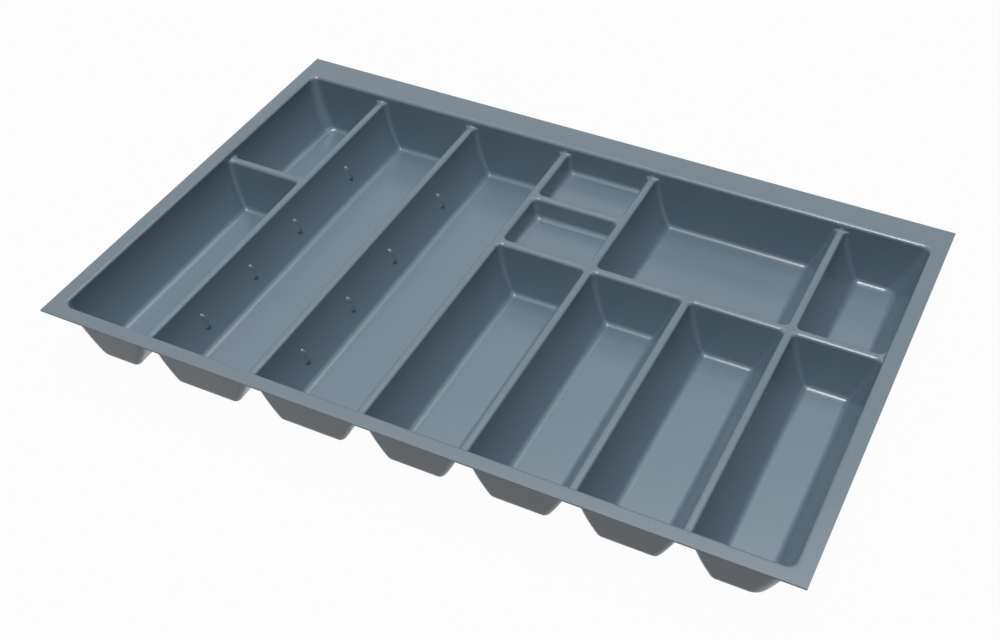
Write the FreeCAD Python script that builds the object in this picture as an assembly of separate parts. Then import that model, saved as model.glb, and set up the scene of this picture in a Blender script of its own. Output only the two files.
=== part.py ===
import FreeCAD, Part
import math
import os

# Drawer cutlery tray, vacuum formed from one plastic sheet, in millimetres.
# X runs along the width, Y from front to back, Z up from the surface it stands on.

# Sheet and depths
sheet = 1.6              # wall, floor and flange
pocket_depth = 58.5      # rim top to the upper face of a deep floor
small_depth = 28.5       # rim top to the upper face of the two small floors
ridge_drop = 8.0         # rim top down to the crest of the dividers

# Flange, from its cut edge to the line where the rim wall starts
rim_side_width = 15.0
rim_front_width = 16.0
rim_back_width = 33.5

# Columns and rows, between divider centre lines or rim walls
outer_column = 89.0
long_column = 111.0
middle_column = 100.0
front_row = 273.5
back_row = 165.0
small_front_row = 82.5

# Wall form
rim_side_draft = 20.4    # degrees from upright, rim walls that face along X
rim_end_draft = 8.8      # degrees from upright, rim walls that face along Y
side_draft = 22.7        # degrees from upright, divider walls that face along X
end_draft = 11.7         # degrees from upright, divider walls that face along Y
small_draft = 13.5       # degrees from upright, divider walls of the two small pockets
corner_radius = 3.5      # plan radius of the pocket corners at dividers, at the crest
corner_growth = 3.0      # added to it at the floor
rim_corner_radius = 7.0  # plan radius of the tray's four corners, at the rim
rim_corner_growth = 12.0 # added to it at the floor
gusset_growth = 4.3      # added at the crest, where a divider meets the rim
floor_radius = 6.0       # wall into floor
edge_radius = 3.8        # rounded rim and divider edges
flare_radius = 9.0       # divider crest rising into the rim wall
crest_flat = 1.0         # level strip left on top of a divider
rim_land = 0.5           # level strip between flange and rounded rim edge
edge_overrun = 0.07      # rounded edges start this far above the level face that they meet
least_radius = 1.0       # sharpest corner that the sheet is drawn to
level_gap = 0.02         # outlines closer than this in height are one

# Locating lugs on the side walls of the two long pockets
lug_first = 86.5         # cut front edge to the first pair
lug_pitch = 82.3         # between the pairs of the front row
lug_row_count = 3        # pairs in the front row
lug_last_gap = 103.0     # front row to the pair at the back
lug_drop = 24.8          # rim top to the tip
lug_length = 17.0        # along the wall
lug_tip_radius = 1.5
lug_base_radius = 4.6

# Places of the outlines that a pocket is lofted through
arc_shares = (0.0, 0.25, 0.5, 0.75, 1.0)     # around a rounded edge, upper face
under_shares = (0.0, 0.5, 1.0)               # around a rounded edge, underside
flare_shares = (0.15, 0.5)                   # up the flare of a divider
corner_shares = (0.5, 0.8)                   # down a wall, where the corners are drawn in between
corner_power = 3                             # the corners grow with this power of the depth
corner_flats = 4                             # flats around a pocket corner
lug_flats = 12                               # flats around a whole lug

# Overall sizes that follow
columns = [outer_column, long_column, long_column, middle_column, middle_column,
           middle_column, outer_column]
tray_width = 2 * rim_side_width + sum(columns)
tray_depth = rim_front_width + front_row + back_row + rim_back_width
rim_top = pocket_depth + sheet
crest = rim_top - ridge_drop

left_edge = -tray_width / 2
right_edge = tray_width / 2
front_edge = -tray_depth / 2
back_edge = tray_depth / 2
x_lines = [left_edge + rim_side_width + sum(columns[:count]) for count in range(len(columns) + 1)]
front_line = front_edge + rim_front_width
cross_line = front_line + front_row
small_line = cross_line + small_front_row
back_line = cross_line + back_row


def lip_run(draft):
    # level distance from a wall's sharp top corner to the start of its rounded edge
    return edge_radius * math.tan(math.radians(90 - draft) / 2)


side_land = x_lines[0] - lip_run(rim_side_draft) - rim_land
front_land = front_line - lip_run(rim_end_draft) - rim_land
back_land = back_line + lip_run(rim_end_draft) + rim_land


class Wall:
    # One wall of a pocket: its rounded top edge, leaning face and rounded foot.
    # A skin of 0 gives the upper face of the sheet, and a skin of one sheet its underside.
    def __init__(self, draft, on_rim, floor):
        self.lean = math.radians(draft)
        self.on_rim = on_rim
        self.top = (rim_top if on_rim else crest) + edge_overrun
        self.run = lip_run(draft)
        self.setback = 0 if on_rim else self.run + crest_flat / 2
        self.lip = self.top - edge_radius
        self.bowl = floor + floor_radius
        corner = (self.top - floor) * math.tan(self.lean)
        self.foot = corner + floor_radius * math.tan((math.pi / 2 - self.lean) / 2)

    def straight(self, z, skin):
        return (self.top - z) * math.tan(self.lean) - skin / math.cos(self.lean)

    def is_flare(self, z, skin):
        return not self.on_rim and z > self.top - skin

    def inset(self, z, skin):
        # level distance from the wall's top line in to its face
        lip_radius = edge_radius - skin
        foot_radius = floor_radius + skin
        if self.is_flare(z, skin):
            rise = max(self.top + flare_radius - z, 0)
            return -self.setback - math.sqrt(max((flare_radius + skin) ** 2 - rise ** 2, 0))
        if z > self.lip + lip_radius * math.sin(self.lean):
            return math.sqrt(max(lip_radius ** 2 - (z - self.lip) ** 2, 0)) - self.run
        if z < self.bowl - foot_radius * math.sin(self.lean):
            return self.foot - math.sqrt(max(foot_radius ** 2 - (z - self.bowl) ** 2, 0))
        return self.straight(z, skin)

    def swell(self, z, skin):
        # how far a rounded edge stands outside the line of the leaning face
        return min(self.straight(z, skin) - self.inset(z, skin), self.run)

    def levels(self, skin):
        turns = [math.pi / 2 * share for share in (under_shares if skin else arc_shares)]
        lips = [self.lip + (edge_radius - skin) * math.cos(turn) for turn in turns]
        feet = [self.bowl - (floor_radius + skin) * math.cos(turn) for turn in turns]
        rises = [math.pi / 2 * share for share in flare_shares]
        flares = [self.top + flare_radius - (flare_radius + skin) * math.cos(rise) for rise in rises]
        return lips + feet + ([] if self.on_rim else flares)


class Pocket:
    # A pocket between two lines in X and two in Y; lines on the rim have a taller wall.
    def __init__(self, left, right, front, back, depth):
        floor = rim_top - depth
        self.floor = floor
        self.box = (left, right, front, back)
        is_small = depth == small_depth
        side = small_draft if is_small else side_draft
        end = small_draft if is_small else end_draft
        self.left = self.wall(left == x_lines[0], rim_side_draft, side)
        self.right = self.wall(right == x_lines[-1], rim_side_draft, side)
        self.front = self.wall(front == front_line, rim_end_draft, end)
        self.back = self.wall(back == back_line, rim_end_draft, end)
        self.walls = (self.left, self.right, self.front, self.back)
        self.top = max(wall.top for wall in self.walls)
        self.deck = self.top - edge_overrun

    def wall(self, on_rim, rim_draft, divider_draft):
        return Wall(rim_draft if on_rim else divider_draft, on_rim, self.floor)

    def cell(self, low, high):
        # block that belongs to this pocket: out to the divider centres or the flange
        left, right, front, back = self.box
        x0 = side_land if self.left.on_rim else left
        x1 = -side_land if self.right.on_rim else right
        y0 = front_land if self.front.on_rim else front
        y1 = back_land if self.back.on_rim else back
        return Part.makeBox(x1 - x0, y1 - y0, high - low, FreeCAD.Vector(x0, y0, low))

    def outline(self, z, skin):
        left, right, front, back = self.box
        x0 = left + self.left.setback + self.left.inset(z, skin)
        x1 = right - self.right.setback - self.right.inset(z, skin)
        y0 = front + self.front.setback + self.front.inset(z, skin)
        y1 = back - self.back.setback - self.back.inset(z, skin)
        pairs = [(self.left, self.front), (self.right, self.front),
                 (self.right, self.back), (self.left, self.back)]
        radii = [self.corner(side, end, z, skin) for side, end in pairs]
        return rounded_outline(x0, x1, y0, y1, radii, z)

    def corner(self, side, end, z, skin):
        if side.is_flare(z, skin) and end.is_flare(z, skin):
            return least_radius
        swell = (side.swell(z, skin) + end.swell(z, skin)) / 2
        share = min(max((self.deck - z) / pocket_depth, 0), 1) ** corner_power
        if side.on_rim and end.on_rim:
            radius = rim_corner_radius + rim_corner_growth * share
        else:
            radius = corner_radius + corner_growth * share
        if side.on_rim != end.on_rim:
            rim, divider = (side, end) if side.on_rim else (end, side)
            opening = divider.swell(z, skin) / divider.run
            swell = rim.swell(z, skin) / 2 + gusset_growth * opening
        return max(radius + skin + swell, least_radius)

    def form(self, skin):
        # solid bounded by one face of the sheet, lofted from the floor up
        bottom = self.floor - skin
        top = self.top - skin
        levels = [bottom]
        heights = [z for wall in self.walls for z in wall.levels(skin)]
        heights.extend(self.deck - (self.deck - self.floor) * share for share in corner_shares)
        for z in sorted(heights):
            if levels[-1] + level_gap < z < top + level_gap:
                levels.append(z)
        return skin_solid([self.outline(z, skin) for z in levels])

    def tub(self):
        # the sheet of this pocket with its half of each divider and its rounded rim edge
        deck = self.cell(self.deck - sheet, self.deck)
        under = self.form(sheet).common(self.cell(self.floor - sheet, self.deck - sheet))
        air = self.form(0).common(self.cell(self.floor, self.deck))
        return under.fuse(deck).cut(air)


def rounded_outline(x0, x1, y0, y1, radii, z):
    # level outline: four sides joined by four arcs of short flats, anticlockwise from the front left
    corners = [(x0, y0, 1, 1), (x1, y0, -1, 1), (x1, y1, -1, -1), (x0, y1, 1, -1)]
    points = []
    for place, ((x, y, to_x, to_y), radius) in enumerate(zip(corners, radii)):
        for step in range(corner_flats + 1):
            turn = math.pi / 2 * (place + 2 + step / corner_flats)
            across = x + radius * (to_x + math.cos(turn))
            along = y + radius * (to_y + math.sin(turn))
            points.append(FreeCAD.Vector(across, along, z))
    return points


def flat(points):
    return Part.Face(Part.makePolygon(points + points[:1]))


def skin_solid(outlines):
    # closed solid through level outlines with equal counts of points: matching sides are parallel,
    # so every strip between two outlines is made of flat quadrilaterals
    faces = [flat(outlines[0]), flat(outlines[-1])]
    for low, high in zip(outlines, outlines[1:]):
        for place in range(len(low)):
            before = place - 1
            faces.append(flat([low[before], low[place], high[place], high[before]]))
    return Part.Solid(Part.Shell(faces))


pockets = {
    "tub_left_back": Pocket(x_lines[0], x_lines[1], cross_line, back_line, pocket_depth),
    "tub_left_front": Pocket(x_lines[0], x_lines[1], front_line, cross_line, pocket_depth),
    "tub_long_left": Pocket(x_lines[1], x_lines[2], front_line, back_line, pocket_depth),
    "tub_long_right": Pocket(x_lines[2], x_lines[3], front_line, back_line, pocket_depth),
    "tub_small_back": Pocket(x_lines[3], x_lines[4], small_line, back_line, small_depth),
    "tub_small_front": Pocket(x_lines[3], x_lines[4], cross_line, small_line, small_depth),
    "tub_wide_back": Pocket(x_lines[4], x_lines[6], cross_line, back_line, pocket_depth),
    "tub_front_a": Pocket(x_lines[3], x_lines[4], front_line, cross_line, pocket_depth),
    "tub_front_b": Pocket(x_lines[4], x_lines[5], front_line, cross_line, pocket_depth),
    "tub_front_c": Pocket(x_lines[5], x_lines[6], front_line, cross_line, pocket_depth),
    "tub_right_back": Pocket(x_lines[6], x_lines[7], cross_line, back_line, pocket_depth),
    "tub_right_front": Pocket(x_lines[6], x_lines[7], front_line, cross_line, pocket_depth),
}


def flange_strip(x0, x1, y0, y1):
    return Part.makeBox(x1 - x0, y1 - y0, sheet, FreeCAD.Vector(x0, y0, rim_top - sheet))


def lug(tip, down, out):
    # blunt cone that hangs down a wall from its tip, with a flat lower end
    across = down.cross(out)
    rings = []
    for drop, radius in ((0, lug_tip_radius / 2), (lug_tip_radius, lug_tip_radius),
                         (lug_length, lug_base_radius)):
        turns = [2 * math.pi * step / lug_flats for step in range(lug_flats)]
        rings.append([tip + down * drop + out * (radius * math.cos(turn)) + across * (radius * math.sin(turn))
                      for turn in turns])
    return skin_solid(rings)


def lugs(pocket):
    # pairs of half cones that face each other across the pocket, each standing out of its side wall
    places = [lug_first + lug_pitch * count for count in range(lug_row_count)]
    places.append(places[-1] + lug_last_gap)
    height = rim_top - lug_drop
    air = pocket.form(0)
    halves = []
    for wall, line, inward in ((pocket.left, pocket.box[0], 1), (pocket.right, pocket.box[1], -1)):
        x = line + inward * (wall.setback + wall.straight(height, 0))
        down = FreeCAD.Vector(inward * math.sin(wall.lean), 0, -math.cos(wall.lean))
        out = FreeCAD.Vector(inward * math.cos(wall.lean), 0, math.sin(wall.lean))
        for place in places:
            tip = FreeCAD.Vector(x, front_edge + place, height)
            halves.extend(lug(tip, down, out).common(air).Solids)
    return Part.makeCompound(halves)


parts = {name: pocket.tub() for name, pocket in pockets.items()}
parts["rim_front"] = flange_strip(left_edge, right_edge, front_edge, front_land)
parts["rim_back"] = flange_strip(left_edge, right_edge, back_land, back_edge)
parts["rim_left"] = flange_strip(left_edge, side_land, front_land, back_land)
parts["rim_right"] = flange_strip(-side_land, right_edge, front_land, back_land)
parts["lugs_long_left"] = lugs(pockets["tub_long_left"])
parts["lugs_long_right"] = lugs(pockets["tub_long_right"])

os.makedirs("parts", exist_ok=True)
for name, shape in parts.items():
    shape.exportStep("parts/" + name + ".step")
    print(name, len(shape.Solids), shape.isValid(), round(shape.Volume))
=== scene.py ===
import math
import bpy
import bmesh
from mathutils import Matrix, Vector


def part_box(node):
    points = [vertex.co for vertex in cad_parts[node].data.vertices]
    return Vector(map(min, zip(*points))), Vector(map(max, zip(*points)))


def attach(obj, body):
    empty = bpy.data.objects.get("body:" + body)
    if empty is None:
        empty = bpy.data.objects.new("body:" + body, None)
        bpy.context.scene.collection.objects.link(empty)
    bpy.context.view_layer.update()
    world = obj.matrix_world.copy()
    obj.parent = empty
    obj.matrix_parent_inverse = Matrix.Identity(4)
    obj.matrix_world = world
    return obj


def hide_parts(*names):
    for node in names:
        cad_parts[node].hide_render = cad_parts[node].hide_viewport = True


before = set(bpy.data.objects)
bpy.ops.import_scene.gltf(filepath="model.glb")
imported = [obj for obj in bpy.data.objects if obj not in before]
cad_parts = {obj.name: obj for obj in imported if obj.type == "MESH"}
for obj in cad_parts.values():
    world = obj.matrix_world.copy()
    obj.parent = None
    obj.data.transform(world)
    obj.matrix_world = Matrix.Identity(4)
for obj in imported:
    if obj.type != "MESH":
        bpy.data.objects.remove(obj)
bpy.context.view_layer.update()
print("frame loaded with", len(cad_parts), "nodes")


def mm(length):
    return length / 1000


# Formed sheet: one skin over flange, dividers and pockets, in millimetres and degrees
sheetForm = {
    "sheet": 1.6,
    "ridgeDrop": 8.0,        # rim top down to the divider crests
    "rimDrafts": {"left": 20.4, "right": 20.4, "front": 8.8, "back": 8.8},
    "dividerDrafts": {"left": 22.7, "right": 22.7, "front": 11.7, "back": 11.7},
    "smallDraft": 13.5,      # divider walls of the two small pockets
    "bows": {"left": 4.2, "right": 2.5, "front": 0.0, "back": 0.0},  # steep above, leaning at the foot
    "cornerRadius": 6.5,     # in plan, pocket corners at dividers
    "cornerGrowth": -2.0,    # added at the floor
    "rimCornerRadius": 7.0,  # in plan, the tray's four corners
    "rimCornerGrowth": 7.0,  # added at the floor
    "gussetGrowth": 2.4,     # added at the crest, where a divider meets the rim
    "leastRadius": 1.0,      # sharpest corner in plan
    "floorRadius": 6.0,
    "edgeRadius": 3.8,       # rounded rim and divider edges
    "flareRadius": 9.0,      # crest rising into the rim wall
    "crestFlat": 2.2,
    "rimLand": 0.5,          # flange up to the rounded edge
    "cutEdgeRadius": 0.3,    # trimmed outer edge, broken by hand
    "cutEdgeAngle": 60.0,    # the least turn that counts as a cut edge
    "cutEdgeSteps": 2,
    "weldGap": 0.004,        # points closer than this are one
    "wallSteps": 14,
    "cornerSteps": 12,
    "edgeSteps": 9,
    "footSteps": 9,
    "flareSteps": 10,
    "flareSpacing": 1.25,    # above 1 the flare's levels lie closer at the crest
}

xSides = ("left", "right")   # walls that face along X
ySides = ("front", "back")
tubNodes = sorted(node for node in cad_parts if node.startswith("tub_"))
sheetThickness = mm(sheetForm["sheet"])
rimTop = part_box("rim_front")[1].z
deepFloor = min(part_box(node)[0].z for node in tubNodes) + sheetThickness
crestTop = rimTop - mm(sheetForm["ridgeDrop"])
edgeRadius = mm(sheetForm["edgeRadius"])
floorRadius = mm(sheetForm["floorRadius"])
flareRadius = mm(sheetForm["flareRadius"])
outerLow = Vector((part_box("rim_left")[0].x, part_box("rim_front")[0].y))
outerHigh = Vector((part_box("rim_right")[1].x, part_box("rim_back")[1].y))
rimLands = {
    "left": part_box("rim_left")[1].x,
    "right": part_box("rim_right")[0].x,
    "front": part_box("rim_front")[1].y,
    "back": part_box("rim_back")[0].y,
}


def roundRun(radius, lean):  # from the sharp corner to where the rounding begins
    return radius * math.tan((math.pi / 2 - lean) / 2)


def makeWall(side, place, floor, isSmall):
    inward = 1 if side in ("left", "front") else -1
    onRim = abs(place - rimLands[side]) < mm(sheetForm["rimLand"])
    draft = sheetForm["smallDraft"] if isSmall else sheetForm["dividerDrafts"][side]
    lean = math.radians(sheetForm["rimDrafts"][side] if onRim else draft)
    run = roundRun(edgeRadius, lean)
    wall = {"lean": lean, "inward": inward, "onRim": onRim, "run": run, "floor": floor}
    wall["top"] = rimTop if onRim else crestTop
    wall["depth"] = wall["top"] - (deepFloor if onRim else floor)
    wall["bow"] = mm(sheetForm["bows"][side]) * (wall["depth"] / (rimTop - deepFloor)) ** 2
    wall["line"] = place + inward * (run + mm(sheetForm["rimLand"])) if onRim else place
    wall["setback"] = 0 if onRim else run + mm(sheetForm["crestFlat"]) / 2
    wall["foot"] = (wall["top"] - floor) * math.tan(lean) + roundRun(floorRadius, lean)
    return wall


def wallBow(wall, z):  # a parabola, full at half height
    share = (wall["top"] - z) / wall["depth"]
    return wall["bow"] * 4 * share * (1 - share)


def wallStraight(wall, z):
    return (wall["top"] - z) * math.tan(wall["lean"]) - wallBow(wall, z)


def wallInset(wall, z):  # level distance from the wall's top line in to its face
    lip = wall["top"] - edgeRadius
    bowl = wall["floor"] + floorRadius
    if z > lip + edgeRadius * math.sin(wall["lean"]):
        return math.sqrt(max(edgeRadius ** 2 - (z - lip) ** 2, 0)) - wall["run"] - wallBow(wall, z)
    if z < bowl - floorRadius * math.sin(wall["lean"]):
        return wall["foot"] - math.sqrt(max(floorRadius ** 2 - (z - bowl) ** 2, 0)) - wallBow(wall, z)
    return wallStraight(wall, z)


def wallSwell(wall, z):  # how far the rounded edge stands outside the leaning face
    return min(wallStraight(wall, z) - wallInset(wall, z), wall["run"])


def flareReach(z):  # how far past the divider's centre plane the flare has opened
    rise = max(flareRadius - (z - crestTop), 0)
    return math.sqrt(flareRadius ** 2 - rise ** 2)


def wallPlace(wall, z, opened):
    if opened and not wall["onRim"]:
        return wall["line"] - wall["inward"] * flareReach(z)
    return wall["line"] + wall["inward"] * (wall["setback"] + wallInset(wall, z))


def readPocket(node):
    low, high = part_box(node)
    floor = low.z + sheetThickness
    pocket = {"name": node, "floor": floor}
    for side, place in (("left", low.x), ("right", high.x), ("front", low.y), ("back", high.y)):
        pocket[side] = makeWall(side, place, floor, node.startswith("tub_small"))
    for side in rimLands:
        pocket[side]["deck"] = max(pocket[name]["top"] for name in rimLands)
    return pocket


pockets = [readPocket(node) for node in tubNodes]


def touching(a, b):
    return abs(a - b) < mm(sheetForm["crestFlat"])


def splitPlaces(pocket, side):  # where neighbours' corners meet this side's divider
    sides, across = (xSides, ySides) if side in xSides else (ySides, xSides)
    line = pocket[side]["line"]
    start, end = (pocket[name]["line"] for name in across)
    found = []
    for other in pockets:
        if any(touching(other[name]["line"], line) for name in sides):
            for name in across:
                place = other[name]["line"]
                inside = start < place < end and not touching(place, start) and not touching(place, end)
                if inside and not any(touching(place, known) for known in found):
                    found.append(place)
    return sorted(found)


def cornerPoints(xWall, yWall, z, opened):  # from the X wall round to the Y wall
    steps = sheetForm["cornerSteps"]
    x, y = wallPlace(xWall, z, opened), wallPlace(yWall, z, opened)
    xOpen, yOpen = opened and not xWall["onRim"], opened and not yWall["onRim"]
    if xOpen and yOpen:
        return [(xWall["line"], yWall["line"], z)] * (steps + 1)
    swells = [xWall["run"] if xOpen else wallSwell(xWall, z), yWall["run"] if yOpen else wallSwell(yWall, z)]
    share = math.sqrt(max(xWall["deck"] - z, 0) / (rimTop - deepFloor))
    kind = "rimCorner" if xWall["onRim"] and yWall["onRim"] else "corner"
    plan = sheetForm[kind + "Radius"] + sheetForm[kind + "Growth"] * share
    swell = sum(swells) / 2
    if xWall["onRim"] != yWall["onRim"]:
        rim, divider = (0, 1) if xWall["onRim"] else (1, 0)
        opening = swells[divider] / (xWall, yWall)[divider]["run"]
        swell = swells[rim] / 2 + mm(sheetForm["gussetGrowth"]) * opening
    radius = max(mm(plan) + swell, mm(sheetForm["leastRadius"]))
    cut = max(1 - flareReach(z) / radius, 0) if opened else 1
    start = math.acos(cut) if xOpen else 0
    end = math.asin(cut) if yOpen else math.pi / 2
    points = []
    for step in range(steps + 1):
        turn = start + (end - start) * step / steps
        across = x + xWall["inward"] * radius * (1 - math.cos(turn))
        along = y + yWall["inward"] * radius * (1 - math.sin(turn))
        if xOpen and (across - xWall["line"]) * xWall["inward"] < 0:
            across = xWall["line"]
        if yOpen and (along - yWall["line"]) * yWall["inward"] < 0:
            along = yWall["line"]
        points.append((across, along, z))
    return points


def pocketRing(pocket, z, opened):  # anticlockwise from the front left corner
    ring = []
    for xSide, ySide, nextSide in (("left", "front", "front"), ("right", "front", "right"),
                                   ("right", "back", "back"), ("left", "back", "left")):
        xWall, yWall, wall = pocket[xSide], pocket[ySide], pocket[nextSide]
        arc = cornerPoints(xWall, yWall, z, opened)
        arc = arc if (xSide == "left") == (ySide == "front") else arc[::-1]
        ring += [(point, xWall["onRim"] or yWall["onRim"]) for point in arc]
        ring[-1] = (arc[-1], wall["onRim"])
        level = wall["line"] if opened and not wall["onRim"] else wallPlace(wall, z, opened)
        places = splitPlaces(pocket, nextSide)
        for place in places if nextSide in ("front", "right") else places[::-1]:
            point = (level, place, z) if nextSide in xSides else (place, level, z)
            ring.append((point, wall["onRim"]))
    return ring


def arcHeights(count, radius, turnEnd):
    return [radius * (1 - math.cos(turnEnd * step / count)) for step in range(count + 1)]


def pocketLevels(pocket):  # (height, opened past the dividers) from the floor up
    leastLean = min(pocket[side]["lean"] for side in rimLands)
    arc = math.pi / 2 - leastLean
    foot = [pocket["floor"] + rise for rise in arcHeights(sheetForm["footSteps"], floorRadius, arc)]
    lip = [crestTop - drop for drop in arcHeights(sheetForm["edgeSteps"], edgeRadius, arc)]
    rim = [rimTop - drop for drop in arcHeights(sheetForm["edgeSteps"], edgeRadius, arc)]
    steps = sheetForm["wallSteps"]
    wall = [foot[-1] + (lip[-1] - foot[-1]) * step / steps for step in range(1, steps)]
    flareEnd = math.acos(1 - (rim[-1] - crestTop) / flareRadius)
    steps = sheetForm["flareSteps"]
    turns = [flareEnd * (step / steps) ** sheetForm["flareSpacing"] for step in range(1, steps)]
    flare = [crestTop + flareRadius * (1 - math.cos(turn)) for turn in turns]
    levels = [(z, False) for z in foot + wall + lip[::-1]]
    return levels + [(z, True) for z in [crestTop] + flare + rim[::-1]]


def flangePoint(pocket, point):  # straight out to the cut edge, corners to the tray's corner
    distances = {side: abs((point.x if side in xSides else point.y) - rimLands[side])
                 for side in rimLands if pocket[side]["onRim"]}
    near = sorted(distances, key=distances.get)
    edges = {"left": outerLow.x, "right": outerHigh.x, "front": outerLow.y, "back": outerHigh.y}
    x, y = point.x, point.y
    isCorner = len(near) > 1 and abs(distances[near[0]] - distances[near[1]]) < mm(sheetForm["weldGap"])
    for side in near[:2] if isCorner else near[:1]:
        if side in xSides:
            x = edges[side]
        else:
            y = edges[side]
    return x, y


def addPocket(bm, pocket):
    rings = []
    for z, opened in pocketLevels(pocket):
        ring = pocketRing(pocket, z, opened)
        rings.append((opened, [(bm.verts.new(point), onRim) for point, onRim in ring]))
    bm.faces.new([vert for vert, onRim in rings[0][1]])
    for (lowOpened, low), (highOpened, high) in zip(rings, rings[1:]):
        for place in range(len(low)):
            after = (place + 1) % len(low)
            if high[place][1] or not lowOpened:
                bm.faces.new((low[after][0], low[place][0], high[place][0], high[after][0]))
    top = rings[-1][1]
    for place in range(len(top)):
        if top[place][1]:
            start, end = top[place][0], top[(place + 1) % len(top)][0]
            outer = [bm.verts.new((*flangePoint(pocket, vert.co), rimTop)) for vert in (start, end)]
            bm.faces.new((end, start, *outer))


def addObject(name, bm):
    mesh = bpy.data.meshes.new(name)
    bm.to_mesh(mesh)
    bm.free()
    piece = bpy.data.objects.new(name, mesh)
    bpy.context.scene.collection.objects.link(piece)
    return piece


def applyModifiers(piece):
    evaluated = piece.evaluated_get(bpy.context.evaluated_depsgraph_get())
    shaped = bpy.data.meshes.new_from_object(evaluated)
    piece.modifiers.clear()
    piece.data = shaped


def isInside(point):  # of the cut edge
    return outerLow.x < point.x < outerHigh.x and outerLow.y < point.y < outerHigh.y


def makeSkin():
    bm = bmesh.new()
    for pocket in pockets:
        addPocket(bm, pocket)
    bmesh.ops.remove_doubles(bm, verts=bm.verts, dist=mm(sheetForm["weldGap"]))
    bmesh.ops.dissolve_degenerate(bm, edges=bm.edges, dist=mm(sheetForm["weldGap"]))
    rims = [edge for edge in bm.edges if edge.is_boundary]
    inner = [edge for edge in rims if all(isInside(vert.co) for vert in edge.verts)]
    print("skin: faces", len(bm.faces), "open edges", len(rims), "of which inside", len(inner))
    return addObject("formedSheet", bm)


def thickenSheet(piece):
    solid = piece.modifiers.new("thickness", "SOLIDIFY")
    solid.thickness = sheetThickness
    solid.offset = -1
    applyModifiers(piece)


def finishSheet(piece):  # break the cut edge and let the flat faces keep flat shading
    bevel = piece.modifiers.new("cutEdge", "BEVEL")
    bevel.width = mm(sheetForm["cutEdgeRadius"])
    bevel.segments = sheetForm["cutEdgeSteps"]
    bevel.limit_method = "ANGLE"
    bevel.angle_limit = math.radians(sheetForm["cutEdgeAngle"])
    applyModifiers(piece)
    for face in piece.data.polygons:
        face.use_smooth = True
    weighted = piece.modifiers.new("flatFaces", "WEIGHTED_NORMAL")
    weighted.mode = "FACE_AREA"


tray = makeSkin()
thickenSheet(tray)
finishSheet(tray)
print("sheet made:", len(tray.data.polygons), "faces")


# Locating lugs: blunt ridged cones, pressed out of the side walls of the two long pockets, in millimetres
lugForm = {
    "first": 86.5,           # cut front edge to the first pair
    "pitch": 82.3,
    "rowCount": 3,
    "lastGap": 103.0,        # front row to the pair at the back
    "drop": 28.8,            # rim top to the tip
    "sink": 0.5,             # set into the wall
    "flankSteps": 20,
    "rings": [               # down the wall, height above it, half width, sharpness of the ridge
        (0.0, 0.0, 1.0, 0.6), (0.25, 0.9, 1.4, 0.6), (0.8, 1.75, 1.8, 0.7), (1.7, 2.5, 2.1, 0.8),
        (2.8, 3.05, 2.4, 1.0), (4.2, 3.2, 2.8, 1.3), (6.5, 3.1, 3.3, 1.7), (9.0, 2.85, 3.8, 2.0),
        (11.7, 2.6, 4.3, 2.0), (14.4, 2.4, 4.7, 2.0), (14.9, 2.2, 4.75, 2.0), (15.2, 1.7, 4.7, 2.0),
        (15.3, 1.0, 4.6, 2.0), (15.3, 0.0, 4.5, 2.0),
    ],
}


def addLug(bm, wall, along):
    height = rimTop - mm(lugForm["drop"])
    foot = height - mm(lugForm["rings"][-1][0])
    tip = Vector((wallPlace(wall, height, False), along, height))
    down = Vector((wallPlace(wall, foot, False), along, foot)) - tip
    down.normalize()
    out = Vector((-wall["inward"] * down.z, 0, wall["inward"] * down.x))
    steps = lugForm["flankSteps"]
    rings = []
    for drop, rise, half, ridge in lugForm["rings"]:
        spine = tip + down * mm(drop)
        ring = [spine - out * mm(lugForm["sink"]) + Vector((0, mm(end * half), 0)) for end in (1, -1)]
        for step in range(steps + 1):
            share = 2 * step / steps - 1
            crown = rise * max(math.cos(math.pi / 2 * share), 0) ** ridge
            ring.append(spine + out * mm(crown) + Vector((0, mm(half * share), 0)))
        rings.append([bm.verts.new(point) for point in ring])
    for low, high in zip(rings, rings[1:]):
        for place in range(len(low)):
            bm.faces.new((low[place - 1], low[place], high[place], high[place - 1]))
    bm.faces.new(rings[0])
    bm.faces.new(rings[-1])


def makeLugs(name, node):
    places = [mm(lugForm["first"] + lugForm["pitch"] * count) for count in range(lugForm["rowCount"])]
    places.append(places[-1] + mm(lugForm["lastGap"]))
    pocket = next(pocket for pocket in pockets if pocket["name"] == node)
    bm = bmesh.new()
    for side in xSides:
        for place in places:
            addLug(bm, pocket[side], outerLow.y + place)
    bmesh.ops.recalc_face_normals(bm, faces=bm.faces)
    for face in bm.faces:
        face.smooth = True
    return addObject(name, bm)


lugSets = {"lugs_long_left": makeLugs("lugsLongLeft", "tub_long_left"),
           "lugs_long_right": makeLugs("lugsLongRight", "tub_long_right")}
print("lugs made")


def hexColour(text):  # sRGB hex to linear
    channels = [int(text[place:place + 2], 16) / 255 for place in (1, 3, 5)]
    return [c / 12.92 if c <= 0.04045 else ((c + 0.055) / 1.055) ** 2.4 for c in channels] + [1]


def addNode(tree, kind, settings, links):
    node = tree.nodes.new(kind)
    for name, value in settings.items():
        if name in node.inputs:
            node.inputs[name].default_value = value
        else:
            setattr(node, name, value)
    for name, source in links.items():
        tree.links.new(source, node.inputs[name])
    return node


# High-impact polystyrene sheet, heated and vacuum formed: a coloured-through satin skin whose fine
# grain breaks the highlights up and whose tone clouds a little where the sheet has stretched
polystyrene = {
    "colour": "#6C7E8A",
    "cloudColour": "#677986",
    "roughness": 0.26,
    "roughnessSpread": 0.04,  # up and down with the grain
    "ior": 1.59,
    "cloudSize": 60.0,       # mm
    "cloudDetail": 3.0,
    "grainSize": 0.9,        # mm, coarser than the real grain so that it shows
    "grainDetail": 2.0,
    "grainHeight": 0.012,    # mm
    "grainStrength": 0.5,
}


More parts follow.
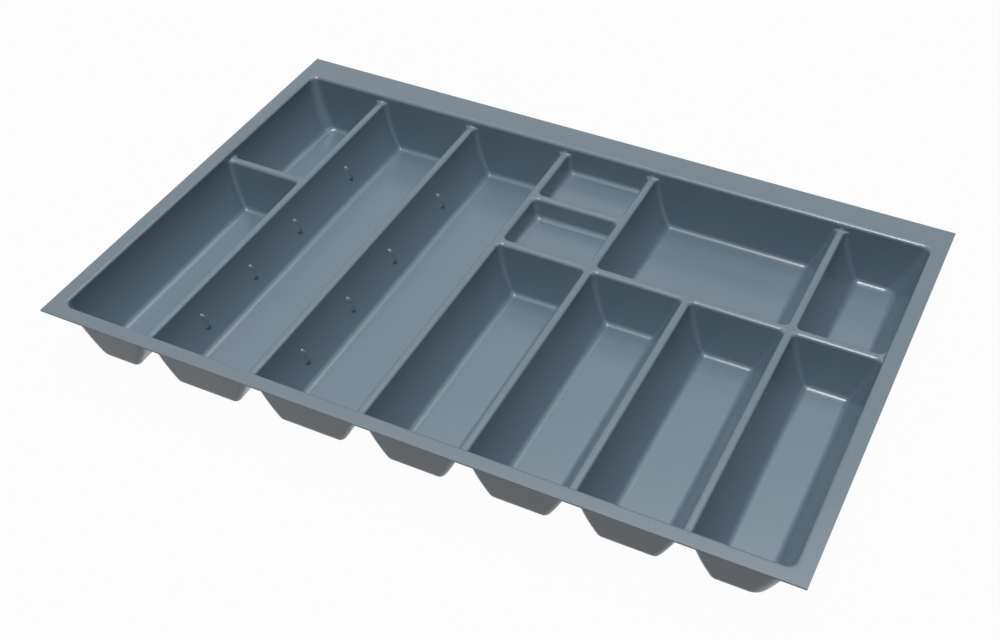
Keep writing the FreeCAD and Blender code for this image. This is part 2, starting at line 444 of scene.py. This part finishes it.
def makePolystyrene():
    form = polystyrene
    material = bpy.data.materials.new("vacuumFormedPolystyrene")
    material.use_nodes = True
    tree = material.node_tree
    tree.nodes.clear()
    place = addNode(tree, "ShaderNodeTexCoord", {}, {}).outputs["Object"]
    cloud = addNode(tree, "ShaderNodeTexNoise",
                    {"Scale": 1 / mm(form["cloudSize"]), "Detail": form["cloudDetail"]}, {"Vector": place})
    colour = addNode(tree, "ShaderNodeMix", {"data_type": "RGBA"}, {})
    firstColour, secondColour, mixedColour = colour.inputs[6], colour.inputs[7], colour.outputs[2]
    firstColour.default_value = hexColour(form["colour"])
    secondColour.default_value = hexColour(form["cloudColour"])
    tree.links.new(cloud.outputs["Fac"], colour.inputs[0])
    grain = addNode(tree, "ShaderNodeTexNoise",
                    {"Scale": 1 / mm(form["grainSize"]), "Detail": form["grainDetail"]}, {"Vector": place})
    bump = addNode(tree, "ShaderNodeBump",
                   {"Strength": form["grainStrength"], "Distance": mm(form["grainHeight"])},
                   {"Height": grain.outputs["Fac"]})
    rough = addNode(tree, "ShaderNodeMapRange",
                    {"To Min": form["roughness"] - form["roughnessSpread"],
                     "To Max": form["roughness"] + form["roughnessSpread"]},
                    {"Value": grain.outputs["Fac"]})
    shader = addNode(tree, "ShaderNodeBsdfPrincipled", {"IOR": form["ior"]},
                     {"Base Color": mixedColour, "Roughness": rough.outputs["Result"],
                      "Normal": bump.outputs["Normal"]})
    addNode(tree, "ShaderNodeOutputMaterial", {}, {"Surface": shader.outputs["BSDF"]})
    return material


sheetMaterial = makePolystyrene()
tray.data.materials.append(sheetMaterial)
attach(tray, "root")
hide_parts(*[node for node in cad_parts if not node.startswith("lugs_")])
for node, lugs in lugSets.items():
    lugs.data.materials.append(sheetMaterial)
    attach(lugs, "root")
    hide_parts(node)
print("finish given")


# Studio: white surroundings, soft lamps and a floor of matt grey paint that is seen as white, so that
# it sends little light up to the tray and still takes its shadow, in metres and degrees
studio = {
    "floorSize": 14.0,
    "floorColour": "#858A8F",
    "floorGlow": 0.97,       # share of plain white in the floor as it is seen
    "skyColour": "#F2F5F8",
    "skyStrength": 0.02,
    "white": (1, 1, 1, 1),   # background as it is seen, at strength 1
    "aim": (0.0, 0.0, 0.03),
    "lamps": {               # way to the lamp round from +X and up, distance, width, height, light level
        "overheadSoftbox": (264.0, 75.0, 8.0, 1.1, 4.4, 0.68),
        "backSoftbox": (106.0, 62.0, 4.0, 3.6, 1.2, 0.25),
        "rightSoftbox": (20.0, 60.0, 4.0, 1.6, 1.6, 0.06),
    },
}


def addSeen(tree):  # 1 for the rays that see the surroundings: straight on, in gloss and through glass
    path = addNode(tree, "ShaderNodeLightPath", {}, {})
    gloss = addNode(tree, "ShaderNodeMath", {"operation": "MAXIMUM"}, {})
    tree.links.new(path.outputs["Is Camera Ray"], gloss.inputs[0])
    tree.links.new(path.outputs["Is Glossy Ray"], gloss.inputs[1])
    seen = addNode(tree, "ShaderNodeMath", {"operation": "MAXIMUM"}, {})
    tree.links.new(gloss.outputs["Value"], seen.inputs[0])
    tree.links.new(path.outputs["Is Transmission Ray"], seen.inputs[1])
    return seen.outputs["Value"]


def makeFloor():
    bm = bmesh.new()
    bmesh.ops.create_grid(bm, x_segments=2, y_segments=2, size=studio["floorSize"] / 2)
    floor = addObject("studioFloor", bm)
    material = bpy.data.materials.new("greyPaintedFloor")
    material.use_nodes = True
    tree = material.node_tree
    tree.nodes.clear()
    paint = addNode(tree, "ShaderNodeBsdfDiffuse", {"Color": hexColour(studio["floorColour"])}, {})
    glow = addNode(tree, "ShaderNodeEmission", {"Color": studio["white"], "Strength": 1.0}, {})
    mix = addNode(tree, "ShaderNodeMixShader", {"Fac": studio["floorGlow"]}, {})
    tree.links.new(paint.outputs["BSDF"], mix.inputs[1])
    tree.links.new(glow.outputs["Emission"], mix.inputs[2])
    seen = addNode(tree, "ShaderNodeMixShader", {}, {"Fac": addSeen(tree)})
    tree.links.new(paint.outputs["BSDF"], seen.inputs[1])
    tree.links.new(mix.outputs["Shader"], seen.inputs[2])
    addNode(tree, "ShaderNodeOutputMaterial", {}, {"Surface": seen.outputs["Shader"]})
    floor.data.materials.append(material)


def makeSky():
    world = bpy.data.worlds.new("studioSky")
    bpy.context.scene.world = world
    world.use_nodes = True
    tree = world.node_tree
    tree.nodes.clear()
    light = addNode(tree, "ShaderNodeBackground", {"Color": hexColour(studio["skyColour"]),
                                                   "Strength": studio["skyStrength"]}, {})
    white = addNode(tree, "ShaderNodeBackground", {"Color": studio["white"], "Strength": 1.0}, {})
    mix = addNode(tree, "ShaderNodeMixShader", {}, {"Fac": addSeen(tree)})
    tree.links.new(light.outputs["Background"], mix.inputs[1])
    tree.links.new(white.outputs["Background"], mix.inputs[2])
    addNode(tree, "ShaderNodeOutputWorld", {}, {"Surface": mix.outputs["Shader"]})


def aimAt(piece, place, target, roll):
    direction = Vector(target) - Vector(place)
    turn = direction.to_track_quat("-Z", "Y").to_matrix().to_4x4()
    piece.matrix_world = Matrix.Translation(place) @ turn @ Matrix.Rotation(math.radians(roll), 4, "Z")


def makeLamp(name, turn, rise, distance, width, height, level):
    lamp = bpy.data.lights.new(name, "AREA")
    lamp.shape = "RECTANGLE"
    lamp.size = width
    lamp.size_y = height
    lamp.energy = level * (math.pi * distance) ** 2  # at level 1 a facing colour renders as written
    box = bpy.data.objects.new(name, lamp)
    bpy.context.scene.collection.objects.link(box)
    turn, rise = math.radians(turn), math.radians(rise)
    way = Vector((math.cos(turn) * math.cos(rise), math.sin(turn) * math.cos(rise), math.sin(rise)))
    aimAt(box, Vector(studio["aim"]) + way * distance, studio["aim"], 0)


# Camera fitted to the photo: eye and aim in metres, lens in millimetres on a 36 mm wide frame
photoView = {
    "eye": (0.46212, -0.98244, 0.95331),
    "aim": (0.02037, -0.06952, 0.06010),
    "roll": 0.30,
    "lens": 53.22,
    "frameWidth": 36.0,
}


def makeCamera():
    lens = bpy.data.cameras.new("photoCamera")
    lens.lens = photoView["lens"]
    lens.sensor_width = photoView["frameWidth"]
    lens.sensor_fit = "HORIZONTAL"
    camera = bpy.data.objects.new("photoCamera", lens)
    bpy.context.scene.collection.objects.link(camera)
    aimAt(camera, photoView["eye"], photoView["aim"], photoView["roll"])
    bpy.context.scene.camera = camera


makeFloor()
makeSky()
for lampName, lampValues in studio["lamps"].items():
    makeLamp(lampName, *lampValues)
makeCamera()
bpy.context.scene.view_settings.view_transform = "Standard"
print("studio and camera set")
